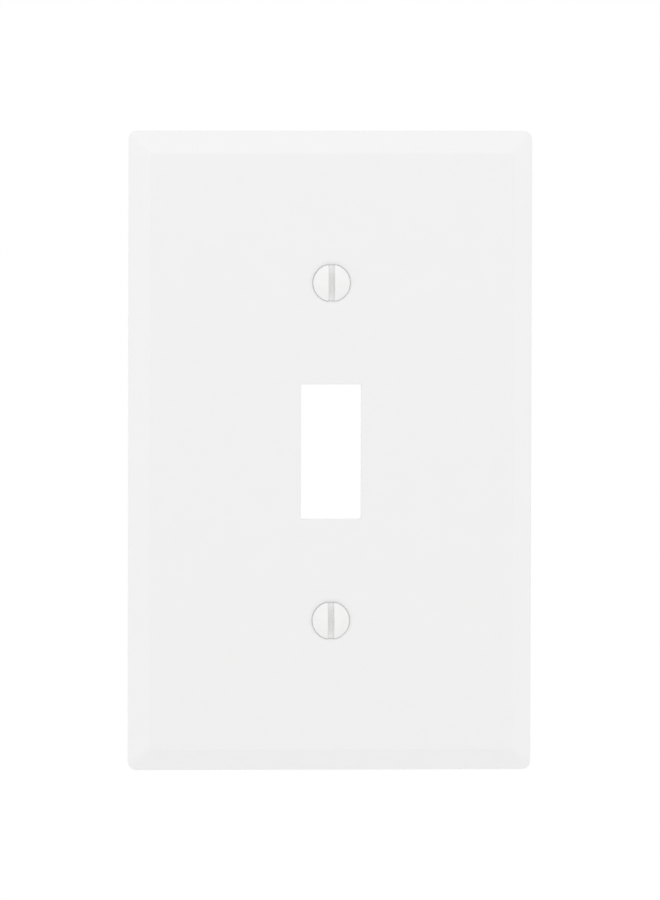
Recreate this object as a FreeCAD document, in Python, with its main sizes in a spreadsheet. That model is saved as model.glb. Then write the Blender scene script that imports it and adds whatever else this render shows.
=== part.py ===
import FreeCAD, Part
import math
import os
import Sketcher
from FreeCAD import Vector

# Single-gang toggle switch wall plate with its two oval-head screws.
# The plate stands upright as on a wall: +X right, +Z up, the front faces -Y.
# The back rim lies on the plane y = 0 and the origin is at that plane's centre.

doc = FreeCAD.newDocument("WallPlateCover")

# ---------------------------------------------------------------- driving sizes
DRIVING_SIZES = {
    # plate outline and profile
    "plateWidth": 72.1,
    "plateHeight": 114.3,
    "plateDepth": 5.6,
    "edgeBand": 2.3,
    "bevelWidth": 3.7,
    "outlineCorner": 1.5,
    "faceCorner": 0.7,
    "creaseSoftness": 0.8,
    "bandSoftness": 0.8,
    "backEdgeSoftness": 0.2,
    # hollow back
    "faceWall": 2.3,
    "rimWall": 2.0,
    "hollowStraight": 1.4,
    "hollowTaper": 2.1,
    "hollowCorner": 0.8,
    # toggle opening and the collar round it
    "openingWidth": 10.8,
    "openingHeight": 24.1,
    "openingEdge": 0.2,
    "collarGap": 0.8,
    "collarWall": 1.2,
    "collarHeight": 1.6,
    # stiffening ribs
    "ribThickness": 1.0,
    "ribHeight": 1.3,
    "longRibSpacing": 19.0,
    "longRibLength": 101.0,
    "ribFoot": 0.3,
    # screw holes
    "screwSpacing": 60.325,
    "holeRadius": 2.25,
    "sinkRadius": 3.75,
    "sinkLip": 1.2,
    "sinkAngle": 82.0,
    "bossRadius": 4.5,
    "bossHeight": 2.0,
    # witness pads of the ejector pins
    "padRadius": 2.0,
    "padHeight": 0.12,
    "padSpacingAcross": 46.0,
    "padSpacingUp": 32.0,
    # screws: number 6, 32 threads to the inch, half an inch long
    "headRadius": 3.3,
    "headLand": 0.15,
    "crownHeight": 0.95,
    "headGap": 0.08,
    "neckRadius": 1.5,
    "neckEnd": 3.95,
    "threadRadius": 1.7525,
    "screwLength": 12.7,
    "tipChamfer": 0.5,
    "slotWidth": 1.15,
    "slotDepth": 1.25,
}

# how a sketch names the points of a line or circle, its own origin and its axes
START, END, CENTRE = 1, 2, 3
ORIGIN, HORIZONTAL_AXIS, VERTICAL_AXIS = -1, -1, -2

FULL_TURN = 360
LEAST_CHANGE = 1e-3  # cubic millimetres that any cut or pad has to take off or add

sizes = doc.addObject("Spreadsheet::Sheet", "sizes")
for row, (alias, value) in enumerate(DRIVING_SIZES.items(), start=1):
    sizes.set(f"A{row}", alias)
    sizes.set(f"B{row}", str(value))
    sizes.setAlias(f"B{row}", alias)
doc.recompute()


def size(alias):
    return float(sizes.get(alias))


# ---------------------------------------------------------------- helpers
def origin_feature(body, role):
    return next(f for f in body.Origin.OriginFeatures if f.Role == role)


def new_sketch(body, name, plane, offset=None):
    """A sketch on one of its body's origin planes, moved along the plane's normal."""
    sketch = body.newObject("Sketcher::SketchObject", name)
    sketch.AttachmentSupport = [(origin_feature(body, plane), "")]
    sketch.MapMode = "FlatFace"
    if offset:
        sketch.setExpression("AttachmentOffset.Base.z", offset)
    return sketch


def name_dimension(sketch, index, name, expression):
    sketch.renameConstraint(index, name)
    sketch.setExpression(f"Constraints.{name}", expression)


def add_box_dimensions(sketch, sides, width, height, rough):
    """Centre four sides (bottom, right, top, left) on the sketch's origin."""
    bottom, right, top, left = sides
    middle = (ORIGIN, START)
    for name, kind, first, second, span, rough_span in (
        ("right", "DistanceX", middle, (right, START), width, rough[0]),
        ("left", "DistanceX", (left, START), middle, width, rough[0]),
        ("top", "DistanceY", middle, (top, START), height, rough[1]),
        ("bottom", "DistanceY", (bottom, START), middle, height, rough[1]),
    ):
        dimension = Sketcher.Constraint(kind, *first, *second, rough_span / 2)
        label = f"{name}{bottom}"
        name_dimension(sketch, sketch.addConstraint(dimension), label, f"({span}) / 2")


def add_level_sides(sketch, left, right, bottom, top):
    """Four joined sides, level and upright: bottom, right, top, left."""
    corners = [
        Vector(left, bottom, 0),
        Vector(right, bottom, 0),
        Vector(right, top, 0),
        Vector(left, top, 0),
    ]
    sides = []
    for k in range(4):
        line = Part.LineSegment(corners[k], corners[(k + 1) % 4])
        sides.append(sketch.addGeometry(line, False))
    for k in range(4):
        joint = ("Coincident", sides[k], END, sides[(k + 1) % 4], START)
        sketch.addConstraint(Sketcher.Constraint(*joint))
        level = "Horizontal" if k % 2 == 0 else "Vertical"
        sketch.addConstraint(Sketcher.Constraint(level, sides[k]))
    return sides


def add_rectangle(sketch, width, height, rough):
    """A sharp-cornered rectangle about the origin; rough is its first guess (width, height)."""
    x, y = rough[0] / 2, rough[1] / 2
    sides = add_level_sides(sketch, -x, x, -y, y)
    add_box_dimensions(sketch, sides, width, height, rough)


def add_rounded_rectangle(sketch, width, height, corner, rough):
    """A round-cornered rectangle about the origin; rough is (width, height, corner)."""
    x, y, r = rough[0] / 2, rough[1] / 2, rough[2]
    sides = []
    arcs = []
    ends = [
        (Vector(-x + r, -y, 0), Vector(x - r, -y, 0)),
        (Vector(x, -y + r, 0), Vector(x, y - r, 0)),
        (Vector(x - r, y, 0), Vector(-x + r, y, 0)),
        (Vector(-x, y - r, 0), Vector(-x, -y + r, 0)),
    ]
    centres = [
        Vector(x - r, -y + r, 0),
        Vector(x - r, y - r, 0),
        Vector(-x + r, y - r, 0),
        Vector(-x + r, -y + r, 0),
    ]
    for k in range(4):
        sides.append(sketch.addGeometry(Part.LineSegment(*ends[k]), False))
        circle = Part.Circle(centres[k], Vector(0, 0, 1), r)
        turn = math.pi / 2
        arc = Part.ArcOfCircle(circle, (k - 1) * turn, k * turn)
        arcs.append(sketch.addGeometry(arc, False))
    for k in range(4):
        sketch.addConstraint(Sketcher.Constraint("Tangent", sides[k], END, arcs[k], START))
        following = sides[(k + 1) % 4]
        sketch.addConstraint(Sketcher.Constraint("Tangent", arcs[k], END, following, START))
        level = "Horizontal" if k % 2 == 0 else "Vertical"
        sketch.addConstraint(Sketcher.Constraint(level, sides[k]))
    for arc in arcs[1:]:
        sketch.addConstraint(Sketcher.Constraint("Equal", arcs[0], arc))
    add_box_dimensions(sketch, sides, width, height, rough)
    index = sketch.addConstraint(Sketcher.Constraint("Radius", arcs[0], r))
    name_dimension(sketch, index, "corner", corner)


def add_circle(sketch, radius, across, up, rough, prefix=""):
    """A circle at (across, up) from the origin; rough is its first guess (x, y, radius)."""
    x, y, r = rough
    circle = sketch.addGeometry(Part.Circle(Vector(x, y, 0), Vector(0, 0, 1), r), False)
    index = sketch.addConstraint(Sketcher.Constraint("Radius", circle, r))
    name_dimension(sketch, index, prefix + "radius", radius)
    for kind, name, expression, rough_value in (
        ("DistanceX", "across", across, x),
        ("DistanceY", "up", up, y),
    ):
        if expression == "0":
            axis = VERTICAL_AXIS if kind == "DistanceX" else HORIZONTAL_AXIS
            sketch.addConstraint(Sketcher.Constraint("PointOnObject", circle, CENTRE, axis))
            continue
        dimension = Sketcher.Constraint(kind, ORIGIN, START, circle, CENTRE, rough_value)
        name_dimension(sketch, sketch.addConstraint(dimension), prefix + name, expression)


def pad(body, name, sketch, length):
    feature = body.newObject("PartDesign::Pad", name)
    feature.Profile = sketch
    feature.setExpression("Length", length)
    sketch.Visibility = False
    doc.recompute()
    return feature


def must_lose_material(body, feature, before):
    """A cut that points away from the solid makes no error, so its volume is compared."""
    doc.recompute()
    if feature.Shape.isNull() or feature.Shape.Volume > before - LEAST_CHANGE:
        raise RuntimeError(f"{body.Label}: {feature.Name} cuts nothing")


def pocket(body, name, sketch, length=None, towards_front=True):
    """A cut of the given length, or through everything when there is none."""
    before = body.Shape.Volume
    feature = body.newObject("PartDesign::Pocket", name)
    feature.Profile = sketch
    feature.Reversed = towards_front
    if length:
        feature.setExpression("Length", length)
    else:
        feature.Type = "ThroughAll"
        feature.Midplane = True
    must_lose_material(body, feature, before)
    return feature


def loft(body, kind, name, first, second):
    feature = body.newObject(f"PartDesign::{kind}", name)
    feature.Profile = first
    feature.Sections = [second]
    feature.Ruled = True
    doc.recompute()
    return feature


def edges_where(shape, test):
    return [f"Edge{k}" for k, edge in enumerate(shape.Edges, start=1) if test(edge)]


def fillet(body, name, radius, test):
    base = body.Tip
    names = edges_where(base.Shape, test)
    if not names:
        raise RuntimeError(f"{body.Label}: {name} finds no edges")
    feature = body.newObject("PartDesign::Fillet", name)
    feature.Base = (base, names)
    feature.setExpression("Radius", radius)
    doc.recompute()
    return feature


def lies_at_depth(edge, y):
    """Is the whole edge on the plane at this depth?"""
    near = 1e-4
    first, last = edge.ParameterRange
    spots = [edge.valueAt(t) for t in (first, (first + last) / 2, last)]
    return all(abs(spot.y - y) < near for spot in spots)


def stays_within(edge, height):
    """Are all the edge's ends nearer than this to the middle, up and down?"""
    return max(abs(end.Z) for end in edge.Vertexes) < height


# ---------------------------------------------------------------- the plate
def raise_from_floor(body, name, sketch, height):
    """Raise an outline from the hollow's floor towards the wall."""
    before = body.Shape.Volume
    feature = body.newObject("PartDesign::Pad", name)
    feature.Profile = sketch
    feature.Reversed = True
    feature.setExpression("Length", height)
    doc.recompute()
    if feature.Shape.Volume < before + LEAST_CHANGE:
        raise RuntimeError(f"{name} adds nothing")


def add_long_rib(sketch, side, name):
    """One long stiffening rib, left (side -1) or right (side 1) of the opening."""
    x = side * size("longRibSpacing") / 2
    half_wide = size("ribThickness") / 2
    half_long = size("longRibLength") / 2
    left, right = x - half_wide, x + half_wide
    bottom, outer, _, _ = add_level_sides(sketch, left, right, -half_long, half_long)
    near = f"{side} * sizes.longRibSpacing / 2"
    for kind, label, corner, expression, rough in (
        ("DistanceX", "Left", (bottom, START), f"{near} - sizes.ribThickness / 2", left),
        ("DistanceX", "Right", (bottom, END), f"{near} + sizes.ribThickness / 2", right),
        ("DistanceY", "Foot", (bottom, START), "-sizes.longRibLength / 2", -half_long),
        ("DistanceY", "Top", (outer, END), "sizes.longRibLength / 2", half_long),
    ):
        dimension = Sketcher.Constraint(kind, ORIGIN, START, *corner, rough)
        name_dimension(sketch, sketch.addConstraint(dimension), name + label, expression)


def sink_hole(body, name, sign):
    """A screw hole: straight bore, countersink cone and a softly rounded lip."""
    half_angle = math.radians(size("sinkAngle") / 2)
    lip = size("sinkLip")
    sink, bore = size("sinkRadius"), size("holeRadius")
    cone_depth = (sink - bore) / math.tan(half_angle)
    # the lip's arc is tangent to the face and to the cone
    reach = lip * math.tan((math.pi / 2 - half_angle) / 2)
    face_y = -size("plateDepth")
    past_face, past_back = face_y - lip, lip
    lip_centre = Vector(sink + reach, face_y + lip, 0)
    on_face = Vector(sink + reach, face_y, 0)
    on_cone_radius = sink - reach * math.sin(half_angle)
    on_cone = Vector(on_cone_radius, face_y + reach * math.cos(half_angle), 0)
    middle_turn = math.pi / 2 + (math.pi / 2 - half_angle) / 2
    mid_lip = lip_centre + Vector(lip * math.cos(middle_turn), -lip * math.sin(middle_turn), 0)
    cone_end = Vector(bore, face_y + cone_depth, 0)
    spots = [
        Vector(0, past_face, 0),
        Vector(on_face.x, past_face, 0),
        on_face,
        on_cone,
        cone_end,
        Vector(bore, past_back, 0),
        Vector(0, past_back, 0),
    ]
    profile = new_sketch(body, f"{name}HoleProfile", "XY_Plane", f"{sign} * sizes.screwSpacing / 2")
    for k, spot in enumerate(spots):
        following = spots[(k + 1) % len(spots)]
        if spot is on_face:
            profile.addGeometry(Part.Arc(on_face, mid_lip, on_cone), False)
        else:
            profile.addGeometry(Part.LineSegment(spot, following), False)
    before = body.Shape.Volume
    groove = body.newObject("PartDesign::Groove", f"{name}ScrewHole")
    groove.Profile = profile
    groove.ReferenceAxis = (profile, ["V_Axis"])
    groove.Angle = FULL_TURN
    must_lose_material(body, groove, before)


def build_plate():
    body = doc.addObject("PartDesign::Body", "plate")
    body.Label = "plate"
    width, height = size("plateWidth"), size("plateHeight")
    bevel = size("bevelWidth")

    # edge band: the straight outer wall that stands on the wall surface
    outline = new_sketch(body, "outline", "XZ_Plane")
    add_rounded_rectangle(
        outline,
        "sizes.plateWidth",
        "sizes.plateHeight",
        "sizes.outlineCorner",
        (width, height, size("outlineCorner")),
    )
    pad(body, "edgeBand", outline, "sizes.edgeBand")

    # mitred bevel between the edge band and the flat front face
    bevel_foot = new_sketch(body, "bevelFoot", "XZ_Plane", "sizes.edgeBand")
    add_rounded_rectangle(
        bevel_foot,
        "sizes.plateWidth",
        "sizes.plateHeight",
        "sizes.outlineCorner",
        (width, height, size("outlineCorner")),
    )
    bevel_top = new_sketch(body, "bevelTop", "XZ_Plane", "sizes.plateDepth")
    add_rounded_rectangle(
        bevel_top,
        "sizes.plateWidth - 2 * sizes.bevelWidth",
        "sizes.plateHeight - 2 * sizes.bevelWidth",
        "sizes.faceCorner",
        (width - 2 * bevel, height - 2 * bevel, size("faceCorner")),
    )
    doc.recompute()
    loft(body, "AdditiveLoft", "bevel", bevel_foot, bevel_top)

    # softened creases, before the back is hollowed out
    face_y = -size("plateDepth")
    band_y = -size("edgeBand")
    fillet(body, "faceCrease", "sizes.creaseSoftness", lambda e: lies_at_depth(e, face_y))
    fillet(body, "bandCrease", "sizes.bandSoftness", lambda e: lies_at_depth(e, band_y))
    fillet(body, "backEdge", "sizes.backEdgeSoftness", lambda e: lies_at_depth(e, 0))

    # hollow back: straight behind the rim, then tapering along the bevel
    rim = 2 * size("rimWall")
    taper = 2 * (size("rimWall") + size("hollowTaper"))
    hollow_mouth = new_sketch(body, "hollowMouth", "XZ_Plane")
    add_rounded_rectangle(
        hollow_mouth,
        "sizes.plateWidth - 2 * sizes.rimWall",
        "sizes.plateHeight - 2 * sizes.rimWall",
        "sizes.hollowCorner",
        (width - rim, height - rim, size("hollowCorner")),
    )
    pocket(body, "hollow", hollow_mouth, "sizes.hollowStraight")
    taper_foot = new_sketch(body, "taperFoot", "XZ_Plane", "sizes.hollowStraight")
    add_rounded_rectangle(
        taper_foot,
        "sizes.plateWidth - 2 * sizes.rimWall",
        "sizes.plateHeight - 2 * sizes.rimWall",
        "sizes.hollowCorner",
        (width - rim, height - rim, size("hollowCorner")),
    )
    floor_depth = "sizes.plateDepth - sizes.faceWall"
    taper_top = new_sketch(body, "taperTop", "XZ_Plane", floor_depth)
    add_rounded_rectangle(
        taper_top,
        "sizes.plateWidth - 2 * (sizes.rimWall + sizes.hollowTaper)",
        "sizes.plateHeight - 2 * (sizes.rimWall + sizes.hollowTaper)",
        "sizes.hollowCorner",
        (width - taper, height - taper, size("hollowCorner")),
    )
    before = body.Shape.Volume
    tapered = loft(body, "SubtractiveLoft", "hollowTaper", taper_foot, taper_top)
    must_lose_material(body, tapered, before)

    # stiffening: a collar round the toggle opening and two long ribs beside it
    collar = new_sketch(body, "collarOutline", "XZ_Plane", floor_depth)
    for gap, rough_gap in (
        ("sizes.collarGap", size("collarGap")),
        ("(sizes.collarGap + sizes.collarWall)", size("collarGap") + size("collarWall")),
    ):
        add_rectangle(
            collar,
            f"sizes.openingWidth + 2 * {gap}",
            f"sizes.openingHeight + 2 * {gap}",
            (size("openingWidth") + 2 * rough_gap, size("openingHeight") + 2 * rough_gap),
        )
    raise_from_floor(body, "collar", collar, "sizes.collarHeight")
    rib = new_sketch(body, "longRibOutline", "XZ_Plane", floor_depth)
    for side, name in ((-1, "left"), (1, "right")):
        add_long_rib(rib, side, name)
    raise_from_floor(body, "longRibs", rib, "sizes.ribHeight")

    # bosses behind the screw holes
    boss = new_sketch(body, "bossOutline", "XZ_Plane", floor_depth)
    middle = size("screwSpacing") / 2
    for sign, name in ((1, "upper"), (-1, "lower")):
        add_circle(
            boss,
            "sizes.bossRadius",
            "0",
            f"{sign} * sizes.screwSpacing / 2",
            (0, sign * middle, size("bossRadius")),
            name,
        )
    raise_from_floor(body, "bosses", boss, "sizes.bossHeight")
    floor_y = size("faceWall") - size("plateDepth")
    wall_height = size("plateHeight") / 2 - size("rimWall") - size("hollowTaper")
    fillet(
        body,
        "ribFeet",
        "sizes.ribFoot",
        lambda e: lies_at_depth(e, floor_y) and stays_within(e, wall_height - size("hollowCorner")),
    )

    # raised witness pads where the ejector pins pushed the moulding out
    witness = new_sketch(body, "ejectorPads", "XZ_Plane", floor_depth)
    across = size("padSpacingAcross") / 2
    up = size("padSpacingUp")
    for column in (-1, 1):
        for row in (-1, 0, 1):
            add_circle(
                witness,
                "sizes.padRadius",
                f"{column} * sizes.padSpacingAcross / 2",
                f"{row} * sizes.padSpacingUp" if row else "0",
                (column * across, row * up, size("padRadius")),
                f"pad{column + 1}{row + 1}",
            )
    raise_from_floor(body, "ejectorWitness", witness, "sizes.padHeight")

    # toggle opening, right through
    opening = new_sketch(body, "openingOutline", "XZ_Plane")
    add_rectangle(
        opening,
        "sizes.openingWidth",
        "sizes.openingHeight",
        (size("openingWidth"), size("openingHeight")),
    )
    pocket(body, "toggleOpening", opening)
    fillet(
        body,
        "openingEdge",
        "sizes.openingEdge",
        lambda e: lies_at_depth(e, face_y) and stays_within(e, size("openingHeight")),
    )

    # countersunk screw holes
    for sign, name in ((1, "upper"), (-1, "lower")):
        sink_hole(body, name, sign)
    return body


# ---------------------------------------------------------------- the screws
def build_screw(label, sign):
    """An oval-head slotted screw, modelled about its own axis with its head ring at y = 0."""
    body = doc.addObject("PartDesign::Body", label)
    body.Label = label
    half_angle = math.radians(size("sinkAngle") / 2)
    head, neck, thread = size("headRadius"), size("neckRadius"), size("threadRadius")
    crown, land = size("crownHeight"), size("headLand")
    length, chamfer = size("screwLength"), size("tipChamfer")
    crown_bulge = (head**2 + crown**2) / (2 * crown)
    half_out = head / 2
    half_rise = crown - crown_bulge + math.sqrt(crown_bulge**2 - half_out**2)
    crown_middle = Vector(half_out, -land - half_rise, 0)
    thread_start = size("neckEnd")
    spots = [
        Vector(0, -land - crown, 0),
        Vector(head, -land, 0),
        Vector(head, 0, 0),
        Vector(neck, (head - neck) / math.tan(half_angle), 0),
        Vector(neck, thread_start, 0),
        Vector(thread, thread_start + thread - neck, 0),
        Vector(thread, length - chamfer, 0),
        Vector(thread - chamfer, length, 0),
        Vector(0, length, 0),
    ]
    profile = new_sketch(body, f"{label}_profile", "XY_Plane")
    profile.addGeometry(Part.Arc(spots[0], crown_middle, spots[1]), False)
    for k in range(1, len(spots)):
        following = spots[(k + 1) % len(spots)]
        profile.addGeometry(Part.LineSegment(spots[k], following), False)
    turned = body.newObject("PartDesign::Revolution", f"{label}_turned")
    turned.Profile = profile
    turned.ReferenceAxis = (profile, ["V_Axis"])
    turned.Angle = FULL_TURN
    doc.recompute()

    # driver slot across the crown
    slot = new_sketch(body, f"{label}_slot_outline", "XZ_Plane", "sizes.headLand + sizes.crownHeight")
    add_rectangle(
        slot,
        "sizes.slotWidth",
        "4 * sizes.headRadius",
        (size("slotWidth"), 4 * head),
    )
    pocket(body, f"{label}_slot", slot, "sizes.slotDepth", False)

    # seated: the head's cone stays headGap clear of the countersink
    cone_shift = "sizes.headGap / cos(sizes.sinkAngle * 0.5 deg)"
    sunk = f"(sizes.sinkRadius - {cone_shift} - sizes.headRadius) / tan(sizes.sinkAngle * 0.5 deg)"
    body.setExpression("Placement.Base.y", f"-sizes.plateDepth + {sunk}")
    body.setExpression("Placement.Base.z", f"{sign} * sizes.screwSpacing / 2")
    return body


SUB_PARTS = [
    build_plate(),
    build_screw("upper_screw", 1),
    build_screw("lower_screw", -1),
]
doc.recompute()

# ---------------------------------------------------------------- checks and files
for item in doc.Objects:
    if {"Invalid", "Error"} & set(item.State):
        raise RuntimeError(f"{item.Name} failed: {item.State}")
for sub_part in SUB_PARTS:
    shape = sub_part.Shape
    if shape.isNull() or not shape.isValid() or len(shape.Solids) != 1:
        raise RuntimeError(f"{sub_part.Label} is not one valid solid")
    box = shape.optimalBoundingBox()
    print(sub_part.Label, "volume", round(shape.Volume, 2), "box", box)

os.makedirs("parts", exist_ok=True)
for sub_part in SUB_PARTS:
    sub_part.Shape.exportStep(f"parts/{sub_part.Label}.step")
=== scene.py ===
import math

import bmesh
import bpy
from mathutils import Matrix, Vector


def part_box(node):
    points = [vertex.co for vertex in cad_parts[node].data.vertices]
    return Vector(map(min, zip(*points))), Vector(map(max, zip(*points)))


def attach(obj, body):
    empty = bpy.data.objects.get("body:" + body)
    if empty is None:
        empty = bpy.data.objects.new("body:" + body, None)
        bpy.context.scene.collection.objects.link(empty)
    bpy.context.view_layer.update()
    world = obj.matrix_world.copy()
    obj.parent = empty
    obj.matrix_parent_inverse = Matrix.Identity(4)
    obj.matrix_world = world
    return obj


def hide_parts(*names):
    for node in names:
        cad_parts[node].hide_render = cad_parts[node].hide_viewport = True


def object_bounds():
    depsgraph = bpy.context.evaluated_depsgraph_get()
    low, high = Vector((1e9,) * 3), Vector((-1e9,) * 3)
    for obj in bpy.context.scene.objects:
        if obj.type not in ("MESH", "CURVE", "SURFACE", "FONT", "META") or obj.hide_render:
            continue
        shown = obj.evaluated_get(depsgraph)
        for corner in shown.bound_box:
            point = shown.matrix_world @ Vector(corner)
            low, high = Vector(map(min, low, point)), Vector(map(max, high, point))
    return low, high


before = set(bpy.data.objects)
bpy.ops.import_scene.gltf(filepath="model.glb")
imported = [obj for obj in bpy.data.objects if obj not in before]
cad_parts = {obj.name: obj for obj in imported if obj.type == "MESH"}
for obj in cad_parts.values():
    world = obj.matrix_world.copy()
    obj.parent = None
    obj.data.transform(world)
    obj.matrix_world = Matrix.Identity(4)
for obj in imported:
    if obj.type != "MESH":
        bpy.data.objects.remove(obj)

# Toggle switch wall plate with its two painted screws, front towards -Y, +Z up, metres.
mm = 0.001
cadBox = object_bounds()
fullRange = (0.0, 1.0)


def report(stage):
    print("wall plate:", stage)


def newMaterial(name):
    material = bpy.data.materials.new(name)
    material.use_nodes = True
    tree = material.node_tree
    tree.nodes.clear()
    output = tree.nodes.new("ShaderNodeOutputMaterial")
    shader = tree.nodes.new("ShaderNodeBsdfPrincipled")
    tree.links.new(shader.outputs["BSDF"], output.inputs["Surface"])
    return material, tree, shader


# an input is a number, or another node's socket
def addNode(tree, kind, inputs=None, **settings):
    node = tree.nodes.new(kind)
    for key, value in settings.items():
        setattr(node, key, value)
    for key, value in (inputs or {}).items():
        if isinstance(value, bpy.types.NodeSocket):
            tree.links.new(value, node.inputs[key])
        else:
            node.inputs[key].default_value = value
    return node


def combine(tree, operation, *values):
    return addNode(tree, "ShaderNodeMath", dict(enumerate(values)), operation=operation).outputs[0]


# each span is (low, high)
def remap(tree, value, fromSpan, toSpan=fullRange):
    inputs = {
        "Value": value,
        "From Min": fromSpan[0],
        "From Max": fromSpan[1],
        "To Min": toSpan[0],
        "To Max": toSpan[1],
    }
    return addNode(tree, "ShaderNodeMapRange", inputs).outputs["Result"]


def along(tree, vector, letter):
    return addNode(tree, "ShaderNodeSeparateXYZ", {"Vector": vector}).outputs[letter]


# a grain is (scale per metre, detail, roughness)
def noise(tree, place, grain):
    scale, detail, roughness = grain
    inputs = {"Vector": place, "Scale": scale, "Detail": detail, "Roughness": roughness}
    return addNode(tree, "ShaderNodeTexNoise", inputs).outputs["Fac"]


# sockets 6 and 7 of a colour mix are its two colours, and output 2 is the result
def mixColour(tree, factor, first, second):
    node = addNode(tree, "ShaderNodeMix", {0: factor}, data_type="RGBA")
    for index, colour in ((6, first), (7, second)):
        if isinstance(colour, bpy.types.NodeSocket):
            tree.links.new(colour, node.inputs[index])
        else:
            node.inputs[index].default_value = (*colour, 1.0)
    return node.outputs[2]


# sockets 2 and 3 of a number mix are its two numbers, and output 0 is the result
def mixNumber(tree, factor, first, second):
    inputs = {0: factor, 2: first, 3: second}
    return addNode(tree, "ShaderNodeMix", inputs, data_type="FLOAT").outputs[0]


# each bump is (height, strength, distance), and the next one adds to it
def stackBumps(tree, bumps):
    normal = None
    for height, strength, distance in bumps:
        inputs = {"Height": height, "Strength": strength, "Distance": distance}
        if normal:
            inputs["Normal"] = normal
        normal = addNode(tree, "ShaderNodeBump", inputs).outputs["Normal"]
    return normal


def dress(thing, material):
    thing.data.materials.clear()
    thing.data.materials.append(material)


plateLook = {
    "face": (0.824, 0.824, 0.824),
    "faceWarm": (0.819, 0.819, 0.817),
    "back": (0.812, 0.812, 0.807),
    "gloss": (0.30, 0.38),          # roughness of the polished front, low and high
    "matt": (0.46, 0.58),           # roughness of the hollow back
    "hollowFrom": 2.2 * mm,         # the matt back starts this far in from the front of the plate
    "maskEdge": 0.1 * mm,
    "wallward": (-0.05, 0.35),      # how far a surface faces the wall before it counts as the back
    "flow": (55.0, 2.0, 0.5),       # slow waves of the moulding
    "cloud": (220.0, 4.0, 0.6),     # faint patches of colour
    "grain": (2600.0, 5.0, 0.6),    # fine surface grain
    "cloudSpan": (0.35, 0.65),
    "glossSpan": (0.3, 0.7),
    "flowBump": (0.25, 0.12 * mm),  # strength and depth
    "grainBump": (0.12, 0.02 * mm),
}


def makePlatePlastic(look):
    material, tree, shader = newMaterial("platePlastic")
    surface = addNode(tree, "ShaderNodeNewGeometry")
    place = surface.outputs["Position"]
    # the hollow back faces the wall and lies deeper than the bevel
    facesWall = remap(tree, along(tree, surface.outputs["Normal"], "Y"), look["wallward"])
    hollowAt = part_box("plate")[0].y + look["hollowFrom"]
    deep = remap(tree, along(tree, place, "Y"), (hollowAt - look["maskEdge"], hollowAt))
    back = combine(tree, "MULTIPLY", facesWall, deep)
    flow = noise(tree, place, look["flow"])
    cloud = noise(tree, place, look["cloud"])
    grain = noise(tree, place, look["grain"])
    patches = remap(tree, cloud, look["cloudSpan"])
    front = mixColour(tree, patches, look["face"], look["faceWarm"])
    tree.links.new(mixColour(tree, back, front, look["back"]), shader.inputs["Base Color"])
    glossy = remap(tree, flow, look["glossSpan"], look["gloss"])
    matt = remap(tree, grain, look["glossSpan"], look["matt"])
    tree.links.new(mixNumber(tree, back, glossy, matt), shader.inputs["Roughness"])
    bumps = [(flow, *look["flowBump"]), (grain, *look["grainBump"])]
    tree.links.new(stackBumps(tree, bumps), shader.inputs["Normal"])
    return material


dress(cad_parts["plate"], makePlatePlastic(plateLook))
report("plate dressed")

screwPart = {
    "columns": 96,
    "headRadius": 3.3 * mm,
    "land": 0.15 * mm,              # straight rim between the crown and the cone
    "crown": 0.95 * mm,
    "crownRows": 14,
    "coneAngle": 82.0,
    "coneRows": 4,
    "neckRadius": 1.5 * mm,
    "threadFrom": 3.95 * mm,
    "threadRadius": 1.7525 * mm,
    "rootRadius": 1.32 * mm,
    "pitch": 25.4 / 32 * mm,
    # one turn of the thread, as (share of the pitch, 0 at the root and 1 on the crest)
    "threadShape": ((0.0, 0.0), (0.23, 0.0), (0.545, 1.0), (0.685, 1.0)),
    "fadeTurns": 1.0,               # the thread grows out of the neck over this many turns
    "length": 12.7 * mm,
    "tipChamfer": 0.5 * mm,
    "slotWidth": 1.15 * mm,
    "slotDepth": 1.25 * mm,
    "cutterReach": 3.0,             # the slot's cutter, in slot depths high and head radii long
    "edgeRound": 0.07 * mm,
    "softTo": 0.3 * mm,             # lips are rounded from the crown to just under the rim
    "roundSteps": 3,
    "sharpFrom": 32.0,              # edges that turn more than this stay crisp
    "weld": 0.0005 * mm,            # points closer than this are one
}


# (distance from the head's rim along the axis, radius) down the crown and the cone
def headRows(part):
    head, land, crown, neck = part["headRadius"], part["land"], part["crown"], part["neckRadius"]
    bulge = (head**2 + crown**2) / (2 * crown)
    rows = []
    for step in range(1, part["crownRows"] + 1):
        radius = head * step / part["crownRows"]
        rise = crown - bulge + math.sqrt(bulge**2 - radius**2)
        rows.append((-land - rise, radius))
    rows.append((0.0, head))
    coneDepth = (head - neck) / math.tan(math.radians(part["coneAngle"] / 2))
    for step in range(1, part["coneRows"] + 1):
        share = step / part["coneRows"]
        rows.append((coneDepth * share, head + (neck - head) * share))
    rows.append((part["threadFrom"], neck))
    return rows


# the thread's rows climb with its helix, so that crests and roots are whole edges
def threadSpot(part, row, column):
    shape = part["threadShape"]
    share, height = shape[row % len(shape)]
    turns = row // len(shape) + share - column / part["columns"]
    into = min(max(turns * part["pitch"], 0.0), part["length"] - part["threadFrom"])
    full = part["rootRadius"] + (part["threadRadius"] - part["rootRadius"]) * height
    fade = min(into / (part["fadeTurns"] * part["pitch"]), 1.0)
    reach = part["neckRadius"] + (full - part["neckRadius"]) * fade
    toTip = part["length"] - part["threadFrom"] - into
    return part["threadFrom"] + into, min(reach, part["threadRadius"] - part["tipChamfer"] + toTip)


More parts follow.
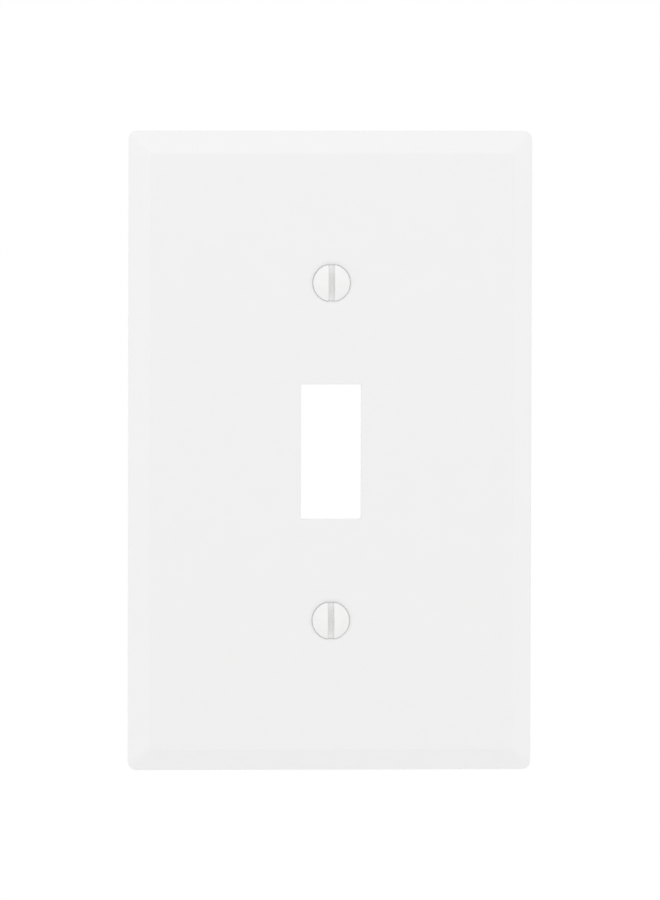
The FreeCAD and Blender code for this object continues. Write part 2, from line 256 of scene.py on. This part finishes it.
def makeScrewMesh(name, part, axis, rim):
    columns = part["columns"]
    work = bmesh.new()

    def addSpot(below, radius, column):
        turn = 2 * math.pi * column / columns
        spot = Vector((radius * math.cos(turn), rim + below, radius * math.sin(turn)))
        return work.verts.new(axis + spot)

    rings = [[addSpot(*row, column) for column in range(columns)] for row in headRows(part)]
    turns = math.ceil((part["length"] - part["threadFrom"]) / part["pitch"]) + 1
    thread = []
    for row in range(turns * len(part["threadShape"])):
        # one column more than the rings have, because the last one lies a turn further on
        spots = [threadSpot(part, row, column) for column in range(columns + 1)]
        thread.append([addSpot(*spot, column) for column, spot in enumerate(spots)])
    for first, second in zip(rings, rings[1:]):
        for column in range(columns):
            after = (column + 1) % columns
            work.faces.new((first[column], first[after], second[after], second[column]))
    for first, second in zip(thread, thread[1:]):
        for column in range(columns):
            work.faces.new((first[column], first[column + 1], second[column + 1], second[column]))
    top = addSpot(-part["land"] - part["crown"], 0.0, 0)
    tip = addSpot(part["length"], 0.0, 0)
    for column in range(columns):
        work.faces.new((top, rings[0][(column + 1) % columns], rings[0][column]))
        work.faces.new((tip, thread[-1][column], thread[-1][column + 1]))
    # rows that start above the thread or run past the tip have come together there
    bmesh.ops.remove_doubles(work, verts=work.verts, dist=part["weld"])
    bmesh.ops.dissolve_degenerate(work, dist=part["weld"], edges=work.edges)
    bmesh.ops.recalc_face_normals(work, faces=work.faces)
    openEdges = sum(1 for edge in work.edges if len(edge.link_faces) != 2)
    report(f"{name} has {len(work.faces)} faces, {openEdges} open edges")
    mesh = bpy.data.meshes.new(name)
    work.to_mesh(mesh)
    work.free()
    return mesh


# a box that reaches past the head on both sides and above it
def makeSlotCutter(part, axis, top):
    work = bmesh.new()
    bmesh.ops.create_cube(work, size=1.0)
    height = part["cutterReach"] * part["slotDepth"]
    for vert in work.verts:
        vert.co.x *= part["slotWidth"]
        vert.co.y = vert.co.y * height - height / 2 + part["slotDepth"]
        vert.co.z *= part["cutterReach"] * part["headRadius"]
        vert.co += axis + Vector((0, top, 0))
    mesh = bpy.data.meshes.new("slotCutter")
    work.to_mesh(mesh)
    work.free()
    cutter = bpy.data.objects.new("slotCutter", mesh)
    bpy.context.scene.collection.objects.link(cutter)
    return cutter


# rounds the rim and the slot's lips, and leaves the thread alone
def softenHead(mesh, part, rim):
    work = bmesh.new()
    work.from_mesh(mesh)
    sharp = math.radians(part["sharpFrom"])
    lips = []
    for edge in work.edges:
        onHead = max(vert.co.y for vert in edge.verts) < rim + part["softTo"]
        if onHead and edge.is_manifold and edge.calc_face_angle() > sharp:
            lips.append(edge)
    bmesh.ops.bevel(
        work,
        geom=lips,
        offset=part["edgeRound"],
        offset_type="OFFSET",
        segments=part["roundSteps"],
        profile=0.5,
        affect="EDGES",
        clamp_overlap=True,
    )
    work.to_mesh(mesh)
    work.free()


def makeScrew(name, part, axis, rim):
    screw = bpy.data.objects.new(name, makeScrewMesh(name, part, axis, rim))
    bpy.context.scene.collection.objects.link(screw)
    cutter = makeSlotCutter(part, axis, rim - part["land"] - part["crown"])
    slot = screw.modifiers.new("slot", "BOOLEAN")
    slot.operation = "DIFFERENCE"
    slot.solver = "EXACT"
    slot.object = cutter
    graph = bpy.context.evaluated_depsgraph_get()
    cut = bpy.data.meshes.new_from_object(screw.evaluated_get(graph))
    screw.modifiers.clear()
    screw.data = cut
    bpy.data.objects.remove(cutter)
    softenHead(cut, part, rim)
    for polygon in cut.polygons:
        polygon.use_smooth = True
    cut.set_sharp_from_angle(angle=math.radians(part["sharpFrom"]))
    return screw


screwLook = {
    "paint": (0.846, 0.846, 0.844),
    "paintDust": (0.828, 0.827, 0.821),
    "zinc": (0.62, 0.63, 0.65),
    "zincDark": (0.42, 0.43, 0.45),
    "paintEnd": 1.6 * mm,           # how far down the cone the paint reaches
    "paintRagged": 0.5 * mm,        # how far its edge wanders
    "paintEdge": 0.05 * mm,
    "mottle": (900.0, 4.0, 0.6),
    "fine": (5000.0, 3.0, 0.5),
    "paintSpan": (0.4, 0.7),
    "zincSpan": (0.35, 0.7),
    "glossSpan": (0.3, 0.7),
    "gloss": (0.30, 0.42),          # roughness, low and high
    "mottleBump": (0.2, 0.03 * mm),
    "fineBump": (0.15, 0.01 * mm),
}


def makeScrewFinish(look, rim):
    material, tree, shader = newMaterial("paintedScrew")
    place = addNode(tree, "ShaderNodeTexCoord").outputs["Object"]
    mottle = noise(tree, place, look["mottle"])
    fine = noise(tree, place, look["fine"])
    # white paint on the head, thrown down the cone to a ragged edge
    paintStops = rim + look["paintEnd"] - look["paintRagged"] / 2
    edge = combine(tree, "MULTIPLY_ADD", mottle, look["paintRagged"], paintStops)
    past = combine(tree, "SUBTRACT", along(tree, place, "Y"), edge)
    bare = remap(tree, past, (-look["paintEdge"], look["paintEdge"]))
    dusty = remap(tree, mottle, look["paintSpan"])
    stained = remap(tree, mottle, look["zincSpan"])
    paint = mixColour(tree, dusty, look["paint"], look["paintDust"])
    zinc = mixColour(tree, stained, look["zinc"], look["zincDark"])
    tree.links.new(mixColour(tree, bare, paint, zinc), shader.inputs["Base Color"])
    tree.links.new(bare, shader.inputs["Metallic"])
    tree.links.new(remap(tree, fine, look["glossSpan"], look["gloss"]), shader.inputs["Roughness"])
    bumps = [(mottle, *look["mottleBump"]), (fine, *look["fineBump"])]
    tree.links.new(stackBumps(tree, bumps), shader.inputs["Normal"])
    return material


# both screws are seated alike, so one height of the rim serves both
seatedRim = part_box("upper_screw")[1].y - screwPart["length"]
screwFinish = makeScrewFinish(screwLook, seatedRim)
for node, name in (("upper_screw", "upperScrew"), ("lower_screw", "lowerScrew")):
    low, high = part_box(node)
    middle = Vector(((low.x + high.x) / 2, 0, (low.z + high.z) / 2))
    screw = makeScrew(name, screwPart, middle, seatedRim)
    dress(screw, screwFinish)
    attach(screw, node)
    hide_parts(node)
    report(f"{name} made")

studio = {
    "floorDrop": 60.0 * mm,         # the plate is held up, as on a wall, clear of the floor
    "floorReach": 40.0,
    "floorColour": (0.50, 0.50, 0.50),
    "floorSpeckle": (0.4975, 0.4975, 0.4975),
    "floorGrain": (40.0, 3.0, 0.5),
    "floorRoughness": 0.9,
    "floorGlow": 0.505,
    "skyStrength": 0.99,
    # name, place, what it points at, width, height, watts
    "softboxes": (
        ("topSoftbox", (-0.03, -0.20, 0.34), (0, 0, 0.02), 0.6, 0.25, 0.19),
        ("leftSoftbox", (-0.8, -0.12, 0.0), (0, 0, 0), 0.5, 0.6, 0.30),
        ("rightSoftbox", (0.8, -0.12, 0.0), (0, 0, 0), 0.5, 0.6, 0.27),
    ),
}


def makeFloor(room):
    reach = room["floorReach"]
    level = cadBox[0].z - room["floorDrop"]
    mesh = bpy.data.meshes.new("floor")
    corners = [(x * reach, y * reach, level) for x, y in ((-1, -1), (1, -1), (1, 1), (-1, 1))]
    mesh.from_pydata(corners, [], [(0, 1, 2, 3)])
    floor = bpy.data.objects.new("floor", mesh)
    bpy.context.scene.collection.objects.link(floor)
    material, tree, shader = newMaterial("paleFloor")
    place = addNode(tree, "ShaderNodeNewGeometry").outputs["Position"]
    speckle = noise(tree, place, room["floorGrain"])
    tint = mixColour(tree, speckle, room["floorColour"], room["floorSpeckle"])
    tree.links.new(tint, shader.inputs["Base Color"])
    shader.inputs["Roughness"].default_value = room["floorRoughness"]
    shader.inputs["Specular IOR Level"].default_value = 0.0
    shader.inputs["Emission Color"].default_value = (1, 1, 1, 1)
    shader.inputs["Emission Strength"].default_value = room["floorGlow"]
    dress(floor, material)


def makeSoftbox(name, place, target, width, height, watts):
    data = bpy.data.lights.new(name, "AREA")
    data.shape = "RECTANGLE"
    data.size = width
    data.size_y = height
    data.energy = watts
    lamp = bpy.data.objects.new(name, data)
    bpy.context.scene.collection.objects.link(lamp)
    lamp.location = place
    lamp.rotation_euler = (Vector(target) - Vector(place)).to_track_quat("-Z", "Y").to_euler()


def makeSky(strength):
    world = bpy.data.worlds.new("studioSky")
    bpy.context.scene.world = world
    world.use_nodes = True
    sky = world.node_tree.nodes["Background"]
    sky.inputs["Color"].default_value = (1, 1, 1, 1)
    sky.inputs["Strength"].default_value = strength


makeFloor(studio)
makeSky(studio["skyStrength"])
for softbox in studio["softboxes"]:
    makeSoftbox(*softbox)
report("floor and light set")

cameraPlace = {
    "azimuth": -3.6,                # a little to the left of straight on
    "elevation": 3.4,               # and a little above
    "roll": 0.14,                   # keeps the plate's edges level and upright
    "distance": 2.5,
    "frameHeight": 160.76 * mm,     # height of what the picture takes in at the plate
    "sensor": 36.0,
    "aim": (-0.01 * mm, -2.0 * mm, 0.14 * mm),
    "farthest": 100.0,
}


def makeCamera(place):
    data = bpy.data.cameras.new("frontCamera")
    data.sensor_width = place["sensor"]
    data.lens = place["sensor"] * place["distance"] / place["frameHeight"]
    data.clip_end = place["farthest"]
    camera = bpy.data.objects.new("frontCamera", data)
    bpy.context.scene.collection.objects.link(camera)
    around, up = math.radians(place["azimuth"]), math.radians(place["elevation"])
    back = Vector((math.sin(around) * math.cos(up), -math.cos(around) * math.cos(up), math.sin(up)))
    camera.location = Vector(place["aim"]) + back * place["distance"]
    facing = back.to_track_quat("Z", "Y").to_matrix().to_4x4()
    facing = facing @ Matrix.Rotation(math.radians(place["roll"]), 4, "Z")
    camera.rotation_euler = facing.to_euler()
    bpy.context.scene.camera = camera


makeCamera(cameraPlace)
bpy.context.scene.view_settings.view_transform = "Standard"
report("camera set")
